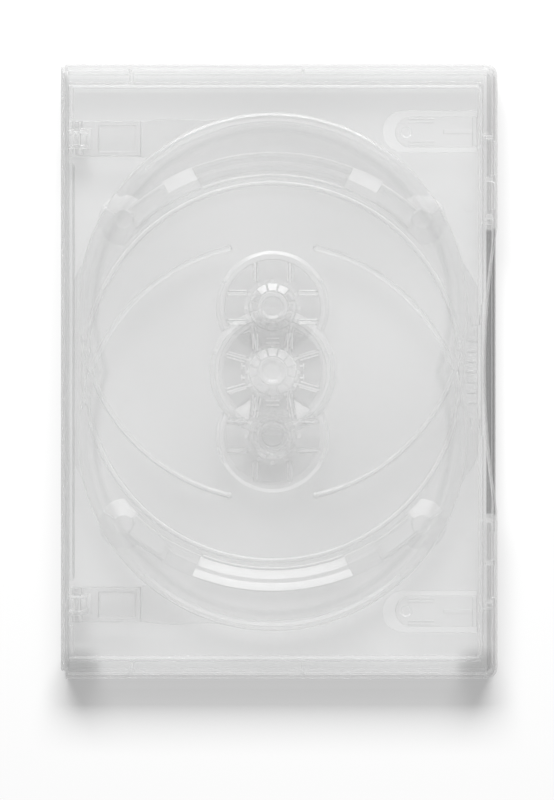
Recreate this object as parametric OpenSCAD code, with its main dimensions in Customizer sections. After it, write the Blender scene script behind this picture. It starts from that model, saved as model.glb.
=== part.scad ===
// Clear keep case for three discs: a back shell with a disc hub, a swing tray
// with one disc hub on each face, a spine, a front cover with two booklet
// clips, and a clear outer film sleeve.  Millimetres, +Z up, case closed and
// lying on its back; the spine is at -X and the opening edge at +X.

/* [Case] */
// Width of the closed case, spine to opening edge
case_w = 135; // [134:0.5:137]
// Height of the closed case
case_h = 190; // [189:0.5:192]
// Thickness of the closed case, film to film
case_t = 14; // [14:0.25:15]
// Thickness of the moulded panels
panel_t = 1.2; // [1.0:0.1:1.3]
// Depth that the clear outer film takes up on each face
film_t = 0.12; // [0.1:0.01:0.15]
// Thickness of the film itself
film_sheet_t = 0.09; // [0.05:0.01:0.1]
// Thickness of the outer walls
wall_t = 1.1; // [0.9:0.1:1.2]
// Radius of the corners at the opening edge
corner_r = 3.6; // [3:0.1:4.5]
// Gap between the two shells where their walls meet
seam_gap = 0.1; // [0.05:0.05:0.3]
// Height of the inner guard wall's top edge
guard_z = 11.2; // [8:0.2:11.6]
// Length of the thumb recess in the opening edge
thumb_l = 88; // [70:1:92]
// Depth of the thumb recess
thumb_d = 3.55; // [2:0.05:3.6]

/* [Discs] */
// Distance of the hubs' line from the middle of the case
hub_x = -2; // [-2.5:0.5:-1.5]
// Offset of each tray hub from the middle hub
hub_dy = 20; // [19.5:0.5:20.5]
// Radius of the hub's collar, inside the disc's 15 mm hole
collar_r = 7.3; // [7.2:0.05:7.4]
// Radius of each lobe of the swing tray
lobe_r = 60.6; // [60.5:0.1:60.9]
// Radius of the ring that the rear disc's edge rests on
well_r = 59.0; // [58.9:0.1:59.4]

/* [Swing tray] */
// Height of the tray's middle plane and of its hinge axis
tray_z = 7.9; // [7.8:0.05:8.0]
// Thickness of the tray's plate
tray_t = 1.0; // [0.9:0.1:1.1]
// Distance of the tray's hinge axis from the spine's face
pivot_in = 4.7; // [4.5:0.1:5]
// Radius of the hinge pins
pin_r = 1.2; // [1.1:0.05:1.3]
// Radial running clearance on the hinge pins
pin_gap = 0.05; // [0.02:0.01:0.1]

/* [Hidden] */
$fn = 96;
e = 0.01;
x1 = case_w/2;
x0 = -x1;
hy = case_h/2;
floor_z = film_t + panel_t;          // inside face of the back panel
lid_z = case_t - film_t - panel_t;   // inside face of the front panel
seam_z = case_t/2;
px = x0 + pivot_in;                  // tray hinge axis
seat = 1.05;                         // disc seat above the tray's middle plane
disc_t = 1.2;
hinge_y = 72.4;                      // middle of each tray hinge

// ---------------------------------------------------------------- outlines

// Panel outline: nearly square at the spine, round at the opening edge
module slab(xa, xb, h, r, c) {
  polygon([[xa, -h + c], [xa + c, -h], [xb - r, -h], [xb - r, h], [xa + c, h], [xa, h - c]]);
  translate([xb - r - e, -h + r]) square([r + e, 2*h - 2*r]);
  for (s = [-1, 1]) translate([xb - r, s*(h - r)]) circle(r);
}

// Three-sided wall that follows the outline at a given inset, open at the spine
module wall_ring(xa, inset, t, r, za, zb) {
  translate([0, 0, za]) linear_extrude(zb - za) difference() {
    slab(xa, x1 - inset, hy - inset, r, 0.01);
    slab(xa - 5, x1 - inset - t, hy - inset - t, max(r - t, 0.4), 0.01);
  }
}

// Round-topped bead of half-width w on a circle of radius r, from a0 for a degrees
module bead(r, w, top, base, a0, a) {
  rotate([0, 0, a0]) rotate_extrude(angle = a, $fn = 180)
    intersection() {
      translate([r, top - w]) circle(w, $fn = 32);
      translate([r - w, base]) square([2*w, top - base]);
    }
}

// A small rib: box from [xa, ya, za] to [xb, yb, zb]
module rib(xa, xb, ya, yb, za, zb) {
  translate([xa, ya, za]) cube([xb - xa, yb - ya, zb - za]);
}

// ------------------------------------------------------------- disc hubs

// Collar of sprung fingers with a flat button in the middle; z = 0 is its root.
// seat_z is the disc's underside, button_r the radius of the button.
module rosette(seat_z, button_r, fingers) {
  top = seat_z + disc_t;
  difference() {
    union() {
      // finger wall, its lip over the disc, and the sloped shoulder
      rotate_extrude() polygon([
        [button_r + 0.5, 0], [collar_r, 0], [collar_r, top + 0.1],
        [collar_r + 0.12, top + 0.3], [collar_r - 0.05, top + 0.5],
        [button_r + 1.0, top + 1.12], [button_r + 0.5, top + 1.15],
        [button_r + 0.5, top + 0.5], [collar_r - 1.0, top + 0.2],
        [collar_r - 1.0, 0.6], [button_r + 0.5, 0.6]]);
    }
    for (i = [0 : fingers - 1]) rotate([0, 0, (i + 0.5)*360/fingers])
      translate([button_r + 0.8, -0.3, (top + 0.1)/2 + 0.1]) cube([5, 0.6, top + 2]);
  }
  // button: a shallow dished cap on a tube
  rotate_extrude() polygon([
    [0, top + 0.25], [button_r - 1.2, top + 0.25], [button_r - 0.6, top + 0.7],
    [button_r - 0.6, 0], [button_r + 0.6, 0], [button_r + 0.6, top + 0.95],
    [button_r + 0.3, top + 1.2], [button_r - 0.5, top + 1.2],
    [button_r - 1.5, top + 0.95], [0, top + 0.95]]);
}

// Thin plate around a tray hub, cut into four sprung arms by two pairs of
// crossing slots; za..zb is the plate
module tray_hub_slots(za, zb) {
  for (a = [0, 90, 180, 270]) rotate([0, 0, a]) {
    off = (a % 180 == 0) ? 4.5 : 5.4;
    for (s = [-1, 1]) {
      rib(7.9, 14.4, s*off - 0.3, s*off + 0.3, za, zb);
    }
  }
  // windows under the lips of the fingers
  for (i = [0 : 11]) rotate([0, 0, i*30])
    rib(7.75, 8.75, -0.5, 0.5, za, zb);
}

// One tray hub standing on the tray's middle plane, facing +Z
module tray_hub() {
  h = tray_t/2;
  // disc seat ring with a sloped skirt, open towards the middle of the tray
  rotate([0, 0, -25.5]) rotate_extrude(angle = 231)
    polygon([[14.9, h - 0.3], [14.9, seat], [16.5, seat], [17.6, h], [17.6, h - 0.3]]);
  // low walls along the slots
  for (a = [0, 90, 180, 270]) rotate([0, 0, a]) {
    off = (a % 180 == 0) ? 4.5 : 5.4;
    for (s = [-1, 1], k = [-0.65, 0.65])
      rib(8.2, 14.2, s*off + k - 0.2, s*off + k + 0.2, h - e, h + 0.4);
  }
  translate([0, 0, h - e]) rosette(seat - h, 4.2, 12);
}

// One corner facet of the middle hub: a plate 1.3 thick that climbs outwards
// at 16 degrees, mostly along Y
FACET = [[6.5, 8.2], [7.75, 15.2], [11.5, 12.1]];
module hub_facet() {
  intersection() {
    translate([0, 0, -0.9]) linear_extrude(4) polygon([[6.45, 8.0], [7.68, 15.9], [12.4, 12.4]]);
    translate([6.5, 8.2, -0.38]) rotate([0, 0, 72]) rotate([0, -16, 0])
      translate([-4, -10, -1.3]) cube([18, 20, 1.3]);
    cylinder(r = 16.85, h = 8, center = true);
  }
}

// The middle hub on the back panel, facing +Z; z = 0 is the panel's inside face
module back_hub() {
  sz = 1.78;            // disc seat above the panel
  // skirt, seat ring and recess wall, one shell of even thickness
  rotate_extrude() polygon([
    [19.9, -0.3], [19.9, 0], [18.2, sz - 0.12], [17.9, sz], [16.9, sz], [16.75, sz - 0.1],
    [16.75, 0.7], [15.6, 0.7], [15.6, -0.3]]);
  // recess floor
  difference() {
    rotate_extrude() polygon([[0, -0.3], [16, -0.3], [16, 0.7], [0, 0.7]]);
    // slots that free the four arms
    for (a = [0, 180], s = [-1, 1]) rotate([0, 0, a]) translate([6.9, s*3.9, -2])
      rotate([0, 0, s*16]) cube([8.0, 0.55, 5]);
    for (a = [90, 270], s = [-1, 1]) rotate([0, 0, a]) translate([6.6, s*4.7, -2])
      rotate([0, 0, s*11]) cube([7.8, 0.55, 5]);
    // windows under the fingers
    for (i = [0 : 11]) rotate([0, 0, i*30]) rib(7.7, 8.6, -0.5, 0.5, -2, 3);
    // room for the corner facets
    for (m = [0, 1], n = [0, 1]) mirror([m, 0, 0]) mirror([0, n, 0])
      translate([0, 0, -2]) linear_extrude(4) polygon(FACET);
  }
  // ribs along the slots
  for (a = [0, 180], s = [-1, 1]) rotate([0, 0, a]) translate([7.6, s*3.9, 0.7 - e])
    rotate([0, 0, s*16]) translate([0.9, s > 0 ? -0.75 : 0.9, 0]) cube([6.5, 0.4, 0.55]);
  for (a = [0, 180], s = [-1, 1]) rotate([0, 0, a]) translate([7.6, s*3.9, 0.7 - e])
    rotate([0, 0, s*16]) translate([0.9, s > 0 ? 0.9 : -0.75, 0]) cube([6.5, 0.4, 0.7]);
  for (a = [90, 270], s = [-1, 1]) rotate([0, 0, a]) translate([7.4, s*4.7, 0.7 - e])
    rotate([0, 0, s*11]) translate([0.6, s > 0 ? -0.75 : 0.9, 0]) cube([6.2, 0.4, 0.55]);
  for (a = [90, 270], s = [-1, 1]) rotate([0, 0, a]) translate([7.4, s*4.7, 0.7 - e])
    rotate([0, 0, s*11]) translate([0.6, s > 0 ? 0.9 : -0.75, 0]) cube([6.2, 0.4, 0.7]);
  // sunken facets in the four corners, falling towards the middle
  for (m = [0, 1], n = [0, 1]) mirror([m, 0, 0]) mirror([0, n, 0]) hub_facet();
  // small bars and posts around the collar
  for (s = [-1, 1], t = [-1, 1]) {
    rib(s > 0 ? 8.5 : -9.9, s > 0 ? 9.9 : -8.5, t*1.8 - 0.3, t*1.8 + 0.3, 0.7 - e, 1.5);
    rib(s > 0 ? 9.5 : -9.9, s > 0 ? 9.9 : -9.5, t*1.8 - 0.9, t*1.8 + 0.9, 0.7 - e, 1.4);
  }
  for (s = [-1, 1]) {
    rib(-2.2, 2.2, s*9.0 - 0.25, s*9.0 + 0.25, 0.7 - e, 1.4);
    rib(-2.0, 2.0, s*10.4 - 0.2, s*10.4 + 0.2, 0.7 - e, 1.2);
  }
  translate([0, 0, 0.7 - e]) rosette(sz - 0.7, 4.0, 12);
}

// ------------------------------------------------------------- back shell

// Finger rest outside the disc well, by sectors measured from +Y. The middle
// sector climbs outwards in two slopes, the next fall away outwards, and the
// outer ones are level and end in a round nose.
module rest_sector(a, b, pts) {
  rotate([0, 0, 90 + a]) rotate_extrude(angle = b - a, $fn = 180) polygon(pts);
}
module finger_rest() {
  f = floor_z;
  rest_sector(-21.5, 21.5, [[61.3, film_t], [61.3, f - 0.02], [62.0, f + 0.03], [64.8, f + 1.16],
    [66.1, f + 1.26], [68.4, f + 2.2], [68.7, f + 2.1], [68.7, film_t]]);
  for (m = [0, 1]) mirror([m, 0, 0]) {
    rest_sector(21.3, 30.5, [[61.45, film_t], [61.45, f + 1.5], [61.75, f + 1.72], [64.6, f + 1.76],
      [68.9, f + 0.05], [69.0, film_t]]);
    rest_sector(30.2, 43.4, [[61.6, film_t], [61.6, f + 1.55], [61.9, f + 1.8], [67.7, f + 1.84],
      [68.2, f + 1.6], [68.5, film_t]]);
    difference() {
      rotate([0, 0, 44.4]) translate([0, 66.6, f - 0.2]) cylinder(r1 = 8.4, r2 = 2.9, h = 2.2, $fn = 96);
      translate([0, 0, f - 1]) cylinder(r = 61.0, h = 4, $fn = 360);
    }
  }
}
module finger_rest_hollow() {
  f = floor_z;
  rest_sector(-20.6, 20.6, [[63.2, -1], [63.2, f - 0.75], [64.6, f - 0.15], [66.0, f - 0.05], [67.5, f + 0.6], [67.5, -1]]);
  for (m = [0, 1]) mirror([m, 0, 0])
    rest_sector(31.4, 42.5, [[62.5, -1], [62.5, f + 0.6], [67.2, f + 0.6], [67.2, -1]]);
}

// Two posts with a pin through them, at one end of the tray's hinge
module hinge_post() {
  for (s = [-1, 1]) {
    rib(px - 2.8, px + 3.0, s*2.35 - 0.5, s*2.35 + 0.5, floor_z - e, tray_z - 1.2);
    translate([px, s*2.35, tray_z]) rotate([90, 0, 0]) translate([0, 0, -0.5]) linear_extrude(1)
      polygon([[-2.8, -1.3], [3.0, -1.3], [1.9, 1.4], [1.1, 2.0], [-1.1, 2.0], [-1.9, 1.4]]);
  }
  translate([px, 5.3, tray_z]) rotate([90, 0, 0]) cylinder(r = pin_r, h = 10.6, $fn = 48);
  // low foot between the posts
  rib(px - 2.6, px + 2.6, -2.2, 2.2, floor_z - e, floor_z + 1.2);
}

module back_shell() {
  color([0.93, 0.94, 0.95, 0.35]) {
    difference() {
      union() {
        translate([0, 0, film_t]) linear_extrude(panel_t) slab(x0 + 1.5, x1, hy, corner_r, 0.8);
        for (s = [0, 180]) translate([hub_x, 0, 0]) rotate([0, 0, s]) finger_rest();
      }
      for (s = [0, 180]) translate([hub_x, 0, 0]) rotate([0, 0, s]) finger_rest_hollow();
      // recess under the middle hub
      translate([hub_x, 0, -1]) cylinder(r = 15.8, h = 6);
    }
    // outer wall with a step at its foot, and inner guard wall
    wall_ring(x0 + 1.5, 0, wall_t, corner_r, film_t, seam_z - seam_gap/2);
    wall_ring(x0 + 1.8, wall_t - e, 1.0, corner_r - wall_t, floor_z - e, floor_z + 0.9);
    translate([0, 0, floor_z - e]) linear_extrude(guard_z - floor_z + e) difference() {
      slab(x0 + 2.2, x1 - 4.1, hy - 5.1, 2.0, 0.01);
      slab(x0 - 3, x1 - 5.1, hy - 6.1, 1.0, 0.01);
      // thinner beside the cover's thumb recess
      translate([x1 - 4.5, -20]) square([2, 41]);
    }
    // guard wall at the spine, in three lengths between the tray's hinges
    rib(x0 + 2.2, x0 + 3.2, -65, 65, floor_z - e, 5);
    for (s = [-1, 1]) rib(x0 + 2.2, x0 + 3.2, s > 0 ? 79.4 : -89, s > 0 ? 89 : -79.4, floor_z - e, 5);
    // webs that tie the guard wall to the outer wall
    for (y = [-74, -46.5, 46.5, 74]) rib(x1 - 5.2, x1 - wall_t + e, y - 0.5, y + 0.5, floor_z - e, 5.5);
    for (x = [-46, 7.5], s = [-1, 1]) rib(x - 0.5, x + 0.5, s > 0 ? 89.8 : -hy + wall_t - e, s > 0 ? hy - wall_t + e : -89.8, floor_z - e, 5.5);
    // catches that hold the tray's free edge
    for (s = [-1, 1]) translate([x1 - 5.1, s*16, 8.9]) rotate([90, 0, 0]) translate([0, 0, -1.5])
      linear_extrude(3) polygon([[0.1, -0.6], [-0.35, 0.1], [-0.35, 0.5], [0.1, 1.1]]);
    for (s = [-1, 1]) rib(x1 - 7.6, x1 - 5, s*16 - 1.5, s*16 + 1.5, floor_z - e, 6.2);
    // ring under the edge of the rear disc
    translate([hub_x, 0, 0]) {
      bead(well_r, 0.9, floor_z + 1.3, floor_z - 0.2, 0, 360);
      for (s = [0, 180]) bead(61.5, 0.55, floor_z + 0.75, floor_z - 0.2, 69.3 + s, 41.4);
    }
    translate([hub_x, 0, floor_z]) back_hub();
    for (s = [-1, 1]) translate([0, s*hinge_y, 0]) hinge_post();
    // ejector marks
    for (p = [[-30.7, -39.5], [26, -39.3], [59.4, 51.6], [59.4, -51.6]])
      translate([p[0], p[1], floor_z - e]) cylinder(r = 1.6, h = 0.16, $fn = 40);
  }
}

// ------------------------------------------------------------------- spine

module spine() {
  color([0.93, 0.94, 0.95, 0.35]) {
    rib(x0 + film_t, x0 + film_t + 1.15, -hy + 2.5, hy - 0.6, 0.95, case_t - 0.95);
    // stiffening beads along the inside
    for (z = [3.2, case_t - 3.2])
      rib(x0 + film_t + 1.1, x0 + film_t + 1.4, -hy + 4, hy - 3, z - 0.4, z + 0.4);
  }
}

// ------------------------------------------------------------- front cover

// Bar of half-width h from xa to xb with a round left end
module u_shape(xa, xb, h) {
  translate([xa + h, -h]) square([xb - xa - h, 2*h]);
  translate([xa + h, 0]) circle(h, $fn = 72);
}

module clip_tongue() {
  difference() {
    union() {
      // tongue below the panel, and the step that carries it
      translate([0, 0, 10.95]) linear_extrude(1.0) u_shape(36, 61.2, 4.8);
      rib(59.9, 61.2, -4.8, 4.8, 10.95, lid_z + 0.2);
      rib(59.9, 62.2, -4.8, 4.8, lid_z - 0.3, lid_z + 0.3);
      // ribs on the tongue
      for (s = [-1, 1]) for (k = [-0.5, 0.5])
        rib(40, 48, s*3.5 + k - 0.2, s*3.5 + k + 0.2, 11.9, 12.4);
      rib(51, 59.9, -0.6, 0.6, 11.9, 12.5);
    }
  }
  // soft bump at the tongue's tip
  translate([39.4, 0, 10.75]) cylinder(r1 = 1.4, r2 = 1.9, h = 0.25, $fn = 40);
}

module front_cover() {
  thumb_r = (pow(thumb_l/2, 2) + thumb_d*thumb_d)/(2*thumb_d);
  color([0.94, 0.95, 0.96, 0.35]) {
    difference() {
      union() {
        translate([0, 0, lid_z]) linear_extrude(panel_t) slab(x0 + 1.5, x1, hy, corner_r, 0.8);
        wall_ring(x0 + 1.5, 0, wall_t, corner_r, seam_z + seam_gap/2, case_t - film_t);
        wall_ring(x0 + 1.8, wall_t - e, 0.5, corner_r - wall_t, lid_z - 0.6, lid_z + e);
      }
      // thumb recess
      translate([x1 - thumb_d + thumb_r, 0.5, seam_z - 1]) cylinder(r = thumb_r, h = case_t, $fn = 360);
      // slots over the lock tongues
      for (y = [[60.7, 71.3], [50.1, 58.5], [-58.2, -49.7], [-69.9, -60]])
        rib(x1 - 2.35, x1 - wall_t + 0.25, y[0], y[1], lid_z - 3, case_t);
      // openings over the booklet clips
      for (s = [-1, 1]) translate([0, s*74.2, lid_z - 1]) linear_extrude(4) u_shape(32, 61.2, 6.4);
    }
    // wall that closes the thumb recess
    intersection() {
      translate([x1 - thumb_d + thumb_r, 0.5, seam_z + seam_gap/2]) difference() {
        cylinder(r = thumb_r + 0.6, h = lid_z - seam_z, $fn = 720);
        translate([0, 0, -1]) cylinder(r = thumb_r, h = case_t, $fn = 720);
      }
      rib(x1 - 5, x1 - 0.3, -45, 46, seam_z, lid_z + 0.5);
    }
    for (s = [-1, 1]) translate([0, s*74.2, 0]) clip_tongue();
    // lock tongues and nubs along the opening edge
    for (y = [59.6, 48, -46, -59.2])
      rib(x1 - 3.5, x1 - wall_t + e, y - 0.7, y + 0.7, 9.2, lid_z + e);
    for (y = [72.6, -71.2])
      rib(x1 - 3.5, x1 - wall_t + e, y - 0.5, y + 0.5, 10.2, lid_z + e);
    // short ribs on the rim, seen as small marks from the front
    for (x = [-46, 7.5], s = [-1, 1])
      rib(x - 0.4, x + 0.4, s > 0 ? hy - wall_t - 1.6 : -hy + wall_t - e, s > 0 ? hy - wall_t + e : -hy + wall_t + 1.6, 10, lid_z + e);
  }
}

// -------------------------------------------------------------- swing tray

// Height of the hinge arm's outer edge: straight from the hinge, one soft wave,
// then tangent to the lobe
function arm_edge(x) = 77.6 + 1.0*pow(sin(180*min(max((x + 46)/27, 0), 1)), 2)
                     + 1.1*pow(min(max((x + 30)/13, 0), 1), 2);

module half_arm() {
  pts = [for (i = [0 : 20]) let (x = -58.5 + i*41.5/20) [x, arm_edge(x)]];
  polygon(concat(pts, [[-17, 60], [-36, 60], [-40, 66.0], [-44, 66.9], [-58.5, 66.9]]));
}

module tray_outline() {
  for (s = [-1, 1]) translate([hub_x, s*hub_dy]) circle(lobe_r - 0.3, $fn = 240);
  // waist at the spine and grip tab at the opening edge
  polygon([[-63.4, -29], [-61.6, -33], [0, -33], [0, 33], [-61.6, 33], [-63.4, 29]]);
  polygon([[0, -34.7], [56.8, -34.7], [61.8, -26.8], [61.8, 26.8], [56.8, 34.7], [0, 34.7]]);
  for (s = [0, 1]) mirror([0, s]) half_arm();
}

// Edge bead of one lobe: a slope up from the plate and a rounded rim, both faces
module lobe_rim(a0, a) {
  h = tray_t/2;
  rotate([0, 0, a0]) rotate_extrude(angle = a, $fn = 240)
    polygon([[57.2, -h + 0.05], [57.2, h - 0.05], [58.0, h + 0.12], [59.0, h + 0.4], [59.6, h + 0.45],
             [60.2, h + 0.3], [60.5, h], [lobe_r, 0], [60.5, -h], [60.2, -h - 0.3],
             [59.6, -h - 0.45], [59.0, -h - 0.4], [58.0, -h - 0.12]]);
}

// Ridge under the edge of a disc where its pocket crosses the other lobe,
// with a round knob at the end t
module ridge(a0, a1, t) {
  bead(60.0, 1.0, tray_t/2 + 0.5, 0, a0, a1 - a0);
  rotate([0, 0, t]) translate([60.0, 0, 0]) difference() {
    sphere(1.15, $fn = 40);
    translate([-2, -2, -4]) cube([4, 4, 4]);
    translate([-2, -2, tray_t/2 + 0.53]) cube([4, 4, 2]);
  }
}

// Everything on one face of the tray, for the hub at +hub_dy
module tray_face() {
  translate([hub_x, hub_dy, 0]) {
    tray_hub();
    ridge(197.3, 257.0, 256.9);
    ridge(283.0, 342.7, 283.1);
  }
}

module tray_half() {
  // crossing of the two lobes: the rim stops where the other lobe begins
  translate([hub_x, hub_dy, 0]) lobe_rim(-19.0, 218.0);
}

module swing_tray() {
  color([0.95, 0.96, 0.97, 0.35]) translate([0, 0, tray_z]) {
    difference() {
      union() {
        translate([0, 0, -tray_t/2]) linear_extrude(tray_t) tray_outline();
        for (s = [0, 180]) rotate([s, 0, 0]) tray_half();
      }
      for (s = [0, 180]) rotate([s, 0, 0]) translate([hub_x, hub_dy, 0]) tray_hub_slots(-3, 3);
    }
    for (s = [0, 180]) rotate([s, 0, 0]) tray_face();
    // thicker hinge arms with a fork at each end
    for (s = [-1, 1]) translate([0, s*hinge_y, 0]) difference() {
      union() {
        rib(-58.5, -43, -5.4, 5.4, -0.95, 0.95);
        for (t = [-1, 1]) {
          rib(px, -58.4, t*4.3 - 1.1, t*4.3 + 1.1, -0.95, 0.95);
          translate([px, t*4.3 + 1.1, 0]) rotate([90, 0, 0]) cylinder(r = 2.1, h = 2.2, $fn = 48);
        }
      }
      translate([px, 6, 0]) rotate([90, 0, 0]) cylinder(r = pin_r + pin_gap, h = 12, $fn = 48);
      // hollow under the arm's middle, both faces
      for (t = [0, 180]) rotate([t, 0, 0]) rib(-56.1, -44.5, -4.0, 4.0, 0.5, 2);
    }
    // grip ribs on the free edge
    for (s = [0, 180]) rotate([s, 0, 0]) for (i = [-3 : 3])
      rib(58.6, 61.0, i*3.2 - 0.35, i*3.2 + 0.35, tray_t/2 - e, tray_t/2 + 0.3);
  }
}

// -------------------------------------------------------------- film sleeve

module film_sheet(z) {
  translate([0, 0, z]) linear_extrude(film_sheet_t) slab(x0 + 1.4, x1 - 3.9, hy - 1.4, 1.5, 0.01);
}

module film_back() {
  color([0.97, 0.98, 0.99, 0.2]) film_sheet(0);
}

module film_spine() {
  color([0.97, 0.98, 0.99, 0.2])
    rib(x0, x0 + film_sheet_t, -hy + 2.5, hy - 1.4, 1.1, case_t - 1.1);
}

module film_front() {
  color([0.97, 0.98, 0.99, 0.2]) film_sheet(case_t - film_sheet_t);
}

back_shell();
spine();
front_cover();
swing_tray();
film_back();
film_spine();
film_front();
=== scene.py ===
import bpy, bmesh, math
from mathutils import Vector, Matrix


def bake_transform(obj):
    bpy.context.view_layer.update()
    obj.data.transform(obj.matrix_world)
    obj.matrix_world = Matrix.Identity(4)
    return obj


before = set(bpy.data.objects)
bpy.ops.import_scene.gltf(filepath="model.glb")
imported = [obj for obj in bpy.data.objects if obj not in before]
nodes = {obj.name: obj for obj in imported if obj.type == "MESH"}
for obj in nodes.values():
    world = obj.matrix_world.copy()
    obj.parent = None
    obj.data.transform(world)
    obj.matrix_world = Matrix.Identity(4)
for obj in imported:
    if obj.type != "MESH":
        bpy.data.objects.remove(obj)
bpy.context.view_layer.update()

MM = 0.001
scene = bpy.context.scene
coll = scene.collection

# ------------------------------------------------------------------ camera
# The photo looks straight down; the picture's middle is 0.6 mm left of and 8.8 mm below the case's middle.
# At the front face 3.237 px are 1 mm, in a frame of 554 x 800 px.
D = 0.95
cam_d = bpy.data.cameras.new("camera")
cam = bpy.data.objects.new("camera", cam_d)
coll.objects.link(cam)
cam.location = (-0.62 * MM, -8.8 * MM, D + 14 * MM)
cam.rotation_euler = (0, 0, 0)
cam_d.sensor_fit = "VERTICAL"
cam_d.sensor_height = 24.0
view_h = 800 / 3.237 * MM            # metres seen from top to bottom at the front face
cam_d.lens = 24.0 * D / view_h
cam_d.clip_start = 0.01
cam_d.clip_end = 20
scene.camera = cam

# ------------------------------------------------------------------ helpers
def node_tree(name):
    m = bpy.data.materials.new(name)
    m.use_nodes = True
    t = m.node_tree
    t.nodes.clear()
    return m, t, t.nodes, t.links

def link(t, a, b):
    t.links.new(a, b)

# Clear moulded polypropylene. Flats let the light through with a faint haze and a soft gloss.
# Rounded edges, ribs and corners are painted paler than the flats: a painted highlight for the light they
# hold.
# The highlight gain and the hub arguments set the strength of the painted highlight on slopes and of the
# painted paleness round the hubs.
def clear_plastic(name, tint=(0.982, 0.982, 0.982), haze=0.05, edge=0.75, radius=0.0004, rough=0.11,
                  ior=1.22, slope=0.3, flat_axis="Z", flat_pass=0.918, wall_pass=0.88, skin_pass=0.42,
                  kind="", hub_painted_pale=0.26, hub_rib=0.85, hub_rim=0.35, painted_highlight_gain=0.5, wall_clear=0.85):
    m, t, N, L = node_tree(name)
    out = N.new("ShaderNodeOutputMaterial")
    bv = N.new("ShaderNodeBevel"); bv.samples = 2
    bv.inputs["Radius"].default_value = radius
    geo = N.new("ShaderNodeNewGeometry")
    dot = N.new("ShaderNodeVectorMath"); dot.operation = "DOT_PRODUCT"
    link(t, bv.outputs["Normal"], dot.inputs[0])
    link(t, geo.outputs["Normal"], dot.inputs[1])
    em = N.new("ShaderNodeMapRange")
    em.inputs["From Min"].default_value = 1.0; em.inputs["From Max"].default_value = 0.72
    em.inputs["To Min"].default_value = 0.0; em.inputs["To Max"].default_value = edge
    link(t, dot.outputs["Value"], em.inputs["Value"])
    # slopes off the flat faces, in the piece's own frame, are painted paler: painted light for the relief
    vt = N.new("ShaderNodeVectorTransform")
    vt.vector_type = "NORMAL"; vt.convert_from = "WORLD"; vt.convert_to = "OBJECT"
    link(t, bv.outputs["Normal"], vt.inputs[0])
    s1 = N.new("ShaderNodeSeparateXYZ"); link(t, vt.outputs[0], s1.inputs[0])
    a1 = N.new("ShaderNodeMath"); a1.operation = "ABSOLUTE"
    link(t, s1.outputs[flat_axis], a1.inputs[0])
    sm = N.new("ShaderNodeMapRange")
    sm.inputs["From Min"].default_value = 0.995; sm.inputs["From Max"].default_value = 0.85
    sm.inputs["To Min"].default_value = 0.0; sm.inputs["To Max"].default_value = slope
    link(t, a1.outputs[0], sm.inputs["Value"])
    # painted highlight mask: the paler of the edge mask and the slope mask
    painted_edge_slope = N.new("ShaderNodeMath"); painted_edge_slope.operation = "MAXIMUM"
    link(t, em.outputs["Result"], painted_edge_slope.inputs[0])
    link(t, sm.outputs["Result"], painted_edge_slope.inputs[1])
    # haze varies a little, as flow marks do
    tc = N.new("ShaderNodeTexCoord")
    n2 = N.new("ShaderNodeTexNoise"); n2.inputs["Scale"].default_value = 18
    n2.inputs["Detail"].default_value = 0
    r = N.new("ShaderNodeMapRange")
    r.inputs["From Min"].default_value = 0.3; r.inputs["From Max"].default_value = 0.7
    r.inputs["To Min"].default_value = haze * 0.6; r.inputs["To Max"].default_value = haze * 1.4
    link(t, tc.outputs["Object"], n2.inputs["Vector"])
    link(t, n2.outputs["Fac"], r.inputs["Value"])
    # small helpers: a two-input sum and a clamped ramp
    def op(kind, u, v=None):
        n = N.new("ShaderNodeMath"); n.operation = kind
        for k, w in ((0, u), (1, v)):
            if w is None:
                continue
            if isinstance(w, (int, float)):
                n.inputs[k].default_value = w
            else:
                link(t, w, n.inputs[k])
        return n.outputs[0]
    def ramp(v, f0, f1, t0, t1):
        n = N.new("ShaderNodeMapRange")
        for k, w in (("From Min", f0), ("From Max", f1), ("To Min", t0), ("To Max", t1)):
            n.inputs[k].default_value = w
        link(t, v, n.inputs["Value"])
        return n.outputs["Result"]
    hp = N.new("ShaderNodeSeparateXYZ"); link(t, tc.outputs["Object"], hp.inputs[0])
    px, py, pz = hp.outputs["X"], hp.outputs["Y"], hp.outputs["Z"]
    on = N.new("ShaderNodeSeparateXYZ"); link(t, tc.outputs["Normal"], on.inputs[0])
    nx, ny, nz = on.outputs["X"], on.outputs["Y"], on.outputs["Z"]
    # painted highlight: slopes that face the top edge are painted paler where they would catch the lamp
    painted_highlight = op("MULTIPLY", ramp(ny, 0.16, 0.25, 0.0, painted_highlight_gain), ramp(nz, 0.45, 0.65, 0.0, 1.0))
    painted_light_mask = op("MAXIMUM", painted_edge_slope.outputs[0], painted_highlight)
    # painted shade: a factor that darkens the clear body's tint where shade would fall
    painted_shade = None
    if kind in ("back", "tray"):
        # distance from the hub's axis
        hv = N.new("ShaderNodeCombineXYZ")
        link(t, op("ADD", px, 0.002), hv.inputs["X"])
        link(t, op("SUBTRACT", op("ABSOLUTE", py), 0.02) if kind == "tray" else py, hv.inputs["Y"])
        hl = N.new("ShaderNodeVectorMath"); hl.operation = "LENGTH"; link(t, hv.outputs[0], hl.inputs[0])
        rad = hl.outputs["Value"]
        # painted highlight: the collar and its button are painted paler than the flats, and so is all that
        # stands up round them
        core = ramp(rad, 0.0086, 0.0074, 0.0, hub_painted_pale)
        ring = ramp(rad, 0.0078, 0.0084, hub_rim, 1.0)
        if kind == "back":
            up = ramp(pz, 0.00208, 0.00220, 0.0, 1.0)
            near = ramp(rad, 0.0156, 0.0150, 0.0, hub_rib)
        else:
            up = ramp(op("ABSOLUTE", op("SUBTRACT", pz, 0.0079)), 0.00054, 0.00064, 0.0, 1.0)
            near = ramp(rad, 0.0148, 0.0142, 0.0, hub_rib)
        painted_light_mask = op("MAXIMUM", painted_light_mask, op("MAXIMUM", core, op("MULTIPLY", op("MULTIPLY", up, near), ring)))
    if kind == "tray":
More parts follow.
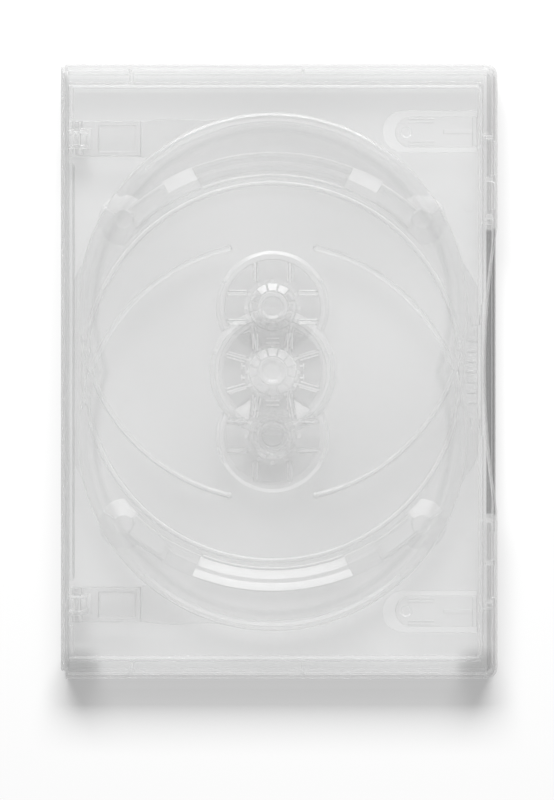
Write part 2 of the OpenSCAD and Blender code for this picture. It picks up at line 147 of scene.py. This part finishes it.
        # the lobes' rims are painted paler as a painted highlight, with a painted shadow, a soft darker
        # line, inside them
        painted_light_mask = op("MAXIMUM", painted_light_mask, ramp(rad, 0.0564, 0.0580, 0.0, 0.10))
        painted_shade = op("MAXIMUM", ramp(rad, 0.0535, 0.0552, 1.0, 0.955), ramp(rad, 0.0555, 0.0570, 0.955, 1.0))
        # painted shade: the hub's recess below the collar is a little darker
        recess_painted_shade = op("MULTIPLY", ramp(rad, 0.0084, 0.0090, 0.0, 0.03), ramp(rad, 0.0148, 0.0144, 0.0, 1.0))
        painted_shade = op("SUBTRACT", painted_shade, op("MULTIPLY", recess_painted_shade, op("SUBTRACT", 1.0, up)))
    if kind == "back":
        # deep shade in the thumb recess and in the slits along the opening edge
        arc_x = op("SUBTRACT", px, op("MULTIPLY", op("MULTIPLY", py, py), 1.82))
        along = ramp(op("ABSOLUTE", py), 0.0450, 0.0440, 0.0, 1.0)
        band = op("MULTIPLY", ramp(px, 0.0648, 0.0651, 0.0, 0.42), ramp(px, 0.0674, 0.0672, 0.0, 1.0))
        lens = op("MULTIPLY", ramp(arc_x, 0.0640, 0.0643, 0.0, 0.42), ramp(px, 0.0674, 0.0672, 0.0, 1.0))
        deep = op("MULTIPLY", op("MAXIMUM", band, lens), along)
        slit = op("MULTIPLY", ramp(px, 0.0650, 0.0652, 0.0, 0.13), ramp(px, 0.0670, 0.0668, 0.0, 1.0))
        # and a thin line of it along the guard wall at the spine, between the tray's hinges
        edge_l = op("MULTIPLY", ramp(px, -0.0647, -0.0645, 0.0, 0.16), ramp(px, -0.0639, -0.0641, 0.0, 1.0))
        edge_l = op("MULTIPLY", edge_l, ramp(op("ABSOLUTE", py), 0.0650, 0.0640, 0.0, 1.0))
        # painted shade: the hub's recess lies deeper, so it is painted darker between the ribs, except where
        # the painted highlight falls
        recess_painted_shade = op("MULTIPLY", ramp(rad, 0.0084, 0.0090, 0.0, 0.06), ramp(rad, 0.0157, 0.0153, 0.0, 1.0))
        recess_painted_shade = op("MULTIPLY", recess_painted_shade, op("SUBTRACT", 1.0, up))
        edge_l = op("MAXIMUM", edge_l, op("MULTIPLY", recess_painted_shade, ramp(painted_highlight, 0.02, 0.10, 1.0, 0.0)))
        painted_shade = op("SUBTRACT", 1.0, op("MAXIMUM", edge_l, op("MAXIMUM", deep, slit)))
        painted_light_mask = op("MULTIPLY", painted_light_mask, ramp(deep, 0.0, 0.42, 1.0, 0.1))
        # painted light: the finger rests' shaded slopes are painted paler, as if they kept some light
        rest = op("MULTIPLY", ramp(rad, 0.0606, 0.0611, 0.0, 0.16), ramp(ny, -0.12, -0.25, 0.0, 1.0))
        painted_light_mask = op("MAXIMUM", painted_light_mask, rest)
    if kind == "cover":
        # painted highlight: nubs and the recess wall along the opening edge are painted paler, as if
        # catching the light
        nub = op("MULTIPLY", ramp(px, 0.0636, 0.0638, 0.0, 0.30), ramp(pz, 0.0122, 0.0120, 0.0, 1.0))
        painted_light_mask = op("MAXIMUM", painted_light_mask, op("MULTIPLY", nub, ramp(px, 0.0665, 0.0663, 0.0, 1.0)))
    # the painted light masks plus the varying haze set how much of the pale scatter shows
    ksum = N.new("ShaderNodeMath"); ksum.operation = "ADD"; ksum.use_clamp = True
    link(t, painted_light_mask, ksum.inputs[0])
    link(t, r.outputs["Result"], ksum.inputs[1])
    # clear body and its gloss
    refr = N.new("ShaderNodeBsdfRefraction")
    refr.inputs["Color"].default_value = (*tint, 1)
    # the painted shade, where set, darkens the body's tint
    if painted_shade is not None:
        link(t, op("MULTIPLY", painted_shade, tint[0]), refr.inputs["Color"])
    refr.inputs["Roughness"].default_value = 0.0
    refr.inputs["IOR"].default_value = ior
    gloss = N.new("ShaderNodeBsdfGlossy")
    gloss.inputs["Roughness"].default_value = rough
    link(t, bv.outputs["Normal"], gloss.inputs["Normal"])
    fr = N.new("ShaderNodeFresnel"); fr.inputs["IOR"].default_value = 1.62
    link(t, bv.outputs["Normal"], fr.inputs["Normal"])
    body = N.new("ShaderNodeMixShader")
    # gloss on the way in only, so that light leaves the flats again at a low angle
    front = N.new("ShaderNodeMath"); front.operation = "SUBTRACT"; front.inputs[0].default_value = 1.0
    link(t, geo.outputs["Backfacing"], front.inputs[1])
    fg = N.new("ShaderNodeMath"); fg.operation = "MULTIPLY"
    link(t, fr.outputs[0], fg.inputs[0]); link(t, front.outputs[0], fg.inputs[1])
    link(t, fg.outputs[0], body.inputs["Fac"])
    link(t, refr.outputs[0], body.inputs[1])
    link(t, gloss.outputs[0], body.inputs[2])
    # the light that the plastic scatters; its colour is painted paler where the painted light masks are set
    pale = N.new("ShaderNodeMapRange")
    pale.inputs["From Min"].default_value = 0.0; pale.inputs["From Max"].default_value = 0.3
    pale.inputs["To Min"].default_value = 0.62; pale.inputs["To Max"].default_value = 0.97
    link(t, painted_light_mask, pale.inputs["Value"])
    dif = N.new("ShaderNodeBsdfDiffuse")
    link(t, pale.outputs["Result"], dif.inputs["Color"])
    link(t, bv.outputs["Normal"], dif.inputs["Normal"])
    milk = N.new("ShaderNodeBsdfTranslucent")
    link(t, pale.outputs["Result"], milk.inputs["Color"])
    scat = N.new("ShaderNodeMixShader"); scat.inputs["Fac"].default_value = 0.5
    link(t, dif.outputs[0], scat.inputs[1])
    link(t, milk.outputs[0], scat.inputs[2])
    straight = N.new("ShaderNodeBsdfTransparent")
    straight.inputs["Color"].default_value = (0.98, 0.98, 0.98, 1)
    body2 = N.new("ShaderNodeMixShader")
    link(t, ramp(op("ABSOLUTE", nz), 0.30, 0.50, wall_clear, 0.0), body2.inputs["Fac"])
    link(t, body.outputs[0], body2.inputs[1])
    link(t, straight.outputs[0], body2.inputs[2])
    full = N.new("ShaderNodeMixShader")
    link(t, ksum.outputs[0], full.inputs["Fac"])
    link(t, body2.outputs[0], full.inputs[1])
    link(t, scat.outputs[0], full.inputs[2])
    # lamps shine through the flats and less through the walls
    sep = N.new("ShaderNodeSeparateXYZ")
    link(t, tc.outputs["Normal"], sep.inputs[0])
    ab = N.new("ShaderNodeMath"); ab.operation = "ABSOLUTE"
    link(t, sep.outputs["Z"], ab.inputs[0])
    pw = N.new("ShaderNodeMapRange")
    pw.inputs["From Min"].default_value = 0.94; pw.inputs["From Max"].default_value = 0.995
    pw.inputs["To Min"].default_value = wall_pass; pw.inputs["To Max"].default_value = flat_pass
    link(t, ab.outputs[0], pw.inputs["Value"])
    # the outer skin of the rim walls throws the case's shadow
    sp = N.new("ShaderNodeSeparateXYZ"); link(t, tc.outputs["Object"], sp.inputs[0])
    gy = N.new("ShaderNodeMath"); gy.operation = "LESS_THAN"; gy.inputs[1].default_value = -0.0946
    link(t, sp.outputs["Y"], gy.inputs[0])
    gx = N.new("ShaderNodeMath"); gx.operation = "GREATER_THAN"; gx.inputs[1].default_value = 0.0671
    link(t, sp.outputs["X"], gx.inputs[0])
    skin = N.new("ShaderNodeMath"); skin.operation = "MAXIMUM"
    link(t, gy.outputs[0], skin.inputs[0]); link(t, gx.outputs[0], skin.inputs[1])
    sk = N.new("ShaderNodeMapRange")
    sk.inputs["To Min"].default_value = 1.0; sk.inputs["To Max"].default_value = skin_pass
    link(t, skin.outputs[0], sk.inputs["Value"])
    # and the lower corners block the most
    ax = N.new("ShaderNodeMath"); ax.operation = "ABSOLUTE"
    link(t, sp.outputs["X"], ax.inputs[0])
    cx = N.new("ShaderNodeMapRange")
    cx.inputs["From Min"].default_value = 0.055; cx.inputs["From Max"].default_value = 0.062
    cx.inputs["To Min"].default_value = 0.0; cx.inputs["To Max"].default_value = 1.0
    link(t, ax.outputs[0], cx.inputs["Value"])
    cy = N.new("ShaderNodeMapRange")
    cy.inputs["From Min"].default_value = -0.085; cy.inputs["From Max"].default_value = -0.090
    cy.inputs["To Min"].default_value = 0.0; cy.inputs["To Max"].default_value = 1.0
    link(t, sp.outputs["Y"], cy.inputs["Value"])
    cc = N.new("ShaderNodeMath"); cc.operation = "MULTIPLY"
    link(t, cx.outputs["Result"], cc.inputs[0]); link(t, cy.outputs["Result"], cc.inputs[1])
    cs = N.new("ShaderNodeMapRange")
    cs.inputs["To Min"].default_value = 1.0; cs.inputs["To Max"].default_value = 0.12
    link(t, cc.outputs[0], cs.inputs["Value"])
    pn = N.new("ShaderNodeMath"); pn.operation = "MULTIPLY"
    link(t, pw.outputs["Result"], pn.inputs[0]); link(t, sk.outputs["Result"], pn.inputs[1])
    pm = N.new("ShaderNodeMath"); pm.operation = "MULTIPLY"
    link(t, pn.outputs[0], pm.inputs[0]); link(t, cs.outputs["Result"], pm.inputs[1])
    lp = N.new("ShaderNodeLightPath")
    tr = N.new("ShaderNodeBsdfTransparent")
    link(t, pm.outputs[0], tr.inputs["Color"])
    mix = N.new("ShaderNodeMixShader")
    link(t, lp.outputs["Is Shadow Ray"], mix.inputs["Fac"])
    link(t, full.outputs[0], mix.inputs[1])
    link(t, tr.outputs[0], mix.inputs[2])
    link(t, mix.outputs[0], out.inputs["Surface"])
    return m

# Thin clear film: straight through, with a gloss that grows at the edges
def clear_film(name, gloss=0.9):
    m, t, N, L = node_tree(name)
    out = N.new("ShaderNodeOutputMaterial")
    tr = N.new("ShaderNodeBsdfTransparent")
    tr.inputs["Color"].default_value = (0.997, 0.998, 0.998, 1)
    gl = N.new("ShaderNodeBsdfGlossy")
    gl.inputs["Roughness"].default_value = 0.06
    tc = N.new("ShaderNodeTexCoord")
    n1 = N.new("ShaderNodeTexNoise"); n1.inputs["Scale"].default_value = 22
    b = N.new("ShaderNodeBump"); b.inputs["Strength"].default_value = 0.06
    b.inputs["Distance"].default_value = 0.0008
    link(t, tc.outputs["Object"], n1.inputs["Vector"])
    link(t, n1.outputs["Fac"], b.inputs["Height"])
    link(t, b.outputs["Normal"], gl.inputs["Normal"])
    fr = N.new("ShaderNodeFresnel"); fr.inputs["IOR"].default_value = 1.25
    # gloss on the way in only: the light isn't bent inside so thin a sheet
    geo = N.new("ShaderNodeNewGeometry")
    front = N.new("ShaderNodeMath"); front.operation = "SUBTRACT"; front.inputs[0].default_value = 1.0
    link(t, geo.outputs["Backfacing"], front.inputs[1])
    fg = N.new("ShaderNodeMath"); fg.operation = "MULTIPLY"
    link(t, fr.outputs[0], fg.inputs[0]); link(t, front.outputs[0], fg.inputs[1])
    mix = N.new("ShaderNodeMixShader")
    link(t, fg.outputs[0], mix.inputs["Fac"])
    link(t, tr.outputs[0], mix.inputs[1])
    link(t, gl.outputs[0], mix.inputs[2])
    lp = N.new("ShaderNodeLightPath")
    thru = N.new("ShaderNodeBsdfTransparent")
    thru.inputs["Color"].default_value = (0.945, 0.945, 0.945, 1)
    sh = N.new("ShaderNodeMixShader")
    link(t, lp.outputs["Is Shadow Ray"], sh.inputs["Fac"])
    link(t, mix.outputs[0], sh.inputs[1])
    link(t, thru.outputs[0], sh.inputs[2])
    link(t, sh.outputs[0], out.inputs["Surface"])
    return m

shell_mat = clear_plastic("clear_shell")
# the back shell's hub is painted paler and its painted highlight on slopes is stronger
back_mat = clear_plastic("clear_shell_back", kind="back", hub_painted_pale=0.36, painted_highlight_gain=0.8)
cover_mat = clear_plastic("clear_shell_cover", kind="cover")
# the tray's hub is painted only faintly paler
tray_mat = clear_plastic("clear_tray", tint=(0.999, 0.999, 0.999), haze=0.06, flat_pass=0.998, wall_pass=0.6, skin_pass=1.0,
                         kind="tray", hub_painted_pale=0.04, hub_rim=0.2)
film_mat = clear_film("clear_film")

def dress(name, mat):
    ob = nodes[name]
    ob.data.materials.clear()
    ob.data.materials.append(mat)
    ob.visible_diffuse = False
    return ob

dress("spine", shell_mat)
dress("back_shell", back_mat)
dress("front_cover", cover_mat)
dress("swing_tray", tray_mat)
for n in ("film_back", "film_spine", "film_front"):
    dress(n, film_mat)
    nodes[n].visible_shadow = False      # its share of the shade is in the shells' material

# ------------------------------------------------------------------ living hinges and film folds
# A bent strip of even thickness: its middle line runs through prof (x, z) in mm, from y0 to y1
def strip(name, prof, y0, y1, thick, mat, slot, ny=24):
    n = len(prof)
    ring = []
    for i, (x, z) in enumerate(prof):
        xa, za = prof[max(i - 1, 0)]; xb, zb = prof[min(i + 1, n - 1)]
        d = math.hypot(xb - xa, zb - za)
        nx, nz = -(zb - za) / d, (xb - xa) / d
        ring.append(((x + nx * thick / 2), (z + nz * thick / 2), (x - nx * thick / 2), (z - nz * thick / 2)))
    loop = [(a, b) for a, b, c, d in ring] + [(c, d) for a, b, c, d in reversed(ring)]
    k = len(loop)
    verts, faces = [], []
    for j in range(ny + 1):
        y = y0 + (y1 - y0) * j / ny
        verts += [(x * MM, y * MM, z * MM) for x, z in loop]
    for j in range(ny):
        for i in range(k):
            a = j * k + i; b = j * k + (i + 1) % k
            faces.append((a, b, b + k, a + k))
    faces.append(tuple(range(k)))
    faces.append(tuple(reversed(range(ny * k, ny * k + k))))
    me = bpy.data.meshes.new(name)
    me.from_pydata(verts, [], faces)
    me.validate()
    bm = bmesh.new(); bm.from_mesh(me)
    bmesh.ops.recalc_face_normals(bm, faces=bm.faces)
    bm.to_mesh(me); bm.free()
    me.materials.append(mat)
    ob = bpy.data.objects.new(name, me)
    coll.objects.link(ob)
    ob.visible_diffuse = False
    ob.visible_shadow = slot != "clear_film"
    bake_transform(ob)
    return ob

def arc(cx, cz, rx, rz, a0, a1, n):
    return [(cx + rx * math.cos(math.radians(a0 + (a1 - a0) * i / n)),
             cz + rz * math.sin(math.radians(a0 + (a1 - a0) * i / n))) for i in range(n + 1)]

web = [(-65.85, 0.42), (-66.15, 0.42)] + arc(-66.15, 0.92, 0.6, 0.5, 270, 180, 6) + [(-66.75, 1.1)]
fold = arc(-66.08, 1.14, 1.37, 1.09, 270, 180, 10)
flip = lambda p: [(x, 14.0 - z) for x, z in reversed(p)]
strip("hinge_web_back", web, -92.3, 92.3, 0.34, shell_mat, "clear_shell")
strip("hinge_web_front", flip(web), -92.3, 92.3, 0.34, shell_mat, "clear_shell")
strip("film_fold_back", fold, -92.4, 93.5, 0.09, film_mat, "clear_film")
strip("film_fold_front", flip(fold), -92.4, 93.5, 0.09, film_mat, "clear_film")

# ------------------------------------------------------------------ floor, light
me = bpy.data.meshes.new("floor")
S = 3.0
me.from_pydata([(-S, -S, 0), (S, -S, 0), (S, S, 0), (-S, S, 0)], [], [(0, 1, 2, 3)])
floor = bpy.data.objects.new("floor", me)
floor.location = (0, 0, -0.00005)
coll.objects.link(floor)
m, t, N, L = node_tree("floor_white")
out = N.new("ShaderNodeOutputMaterial"); di = N.new("ShaderNodeBsdfDiffuse")
di.inputs["Color"].default_value = (0.86, 0.86, 0.86, 1)
link(t, di.outputs[0], out.inputs["Surface"])
me.materials.append(m)

world = bpy.data.worlds.new("world")
scene.world = world
world.use_nodes = True
wt = world.node_tree
wt.nodes.clear()
wo = wt.nodes.new("ShaderNodeOutputWorld")
b_seen = wt.nodes.new("ShaderNodeBackground"); b_seen.inputs["Strength"].default_value = 1.0
b_lit = wt.nodes.new("ShaderNodeBackground"); b_lit.inputs["Strength"].default_value = 0.5
for n in (b_seen, b_lit):
    n.inputs["Color"].default_value = (1, 1, 1, 1)
wlp = wt.nodes.new("ShaderNodeLightPath")
wm = wt.nodes.new("ShaderNodeMixShader")
wt.links.new(wlp.outputs["Is Diffuse Ray"], wm.inputs["Fac"])
wt.links.new(b_seen.outputs[0], wm.inputs[1])
wt.links.new(b_lit.outputs[0], wm.inputs[2])
wt.links.new(wm.outputs[0], wo.inputs["Surface"])

def area(name, loc, target, sx, sy, power):
    d = bpy.data.lights.new(name, "AREA")
    d.shape = "RECTANGLE"; d.size = sx; d.size_y = sy; d.energy = power
    o = bpy.data.objects.new(name, d)
    o.location = loc
    o.rotation_euler = (Vector(target) - Vector(loc)).to_track_quat("-Z", "Y").to_euler()
    coll.objects.link(o)
    return o

area("key", (0.03, 1.25, 1.25), (0, -0.05, 0), 1.4, 0.9, 36)

scene.view_settings.view_transform = "Standard"
scene.view_settings.look = "None"
scene.view_settings.exposure = 0.0
scene.cycles.max_bounces = 10
scene.cycles.transmission_bounces = 10
scene.cycles.transparent_max_bounces = 24
scene.cycles.glossy_bounces = 3
scene.cycles.diffuse_bounces = 1
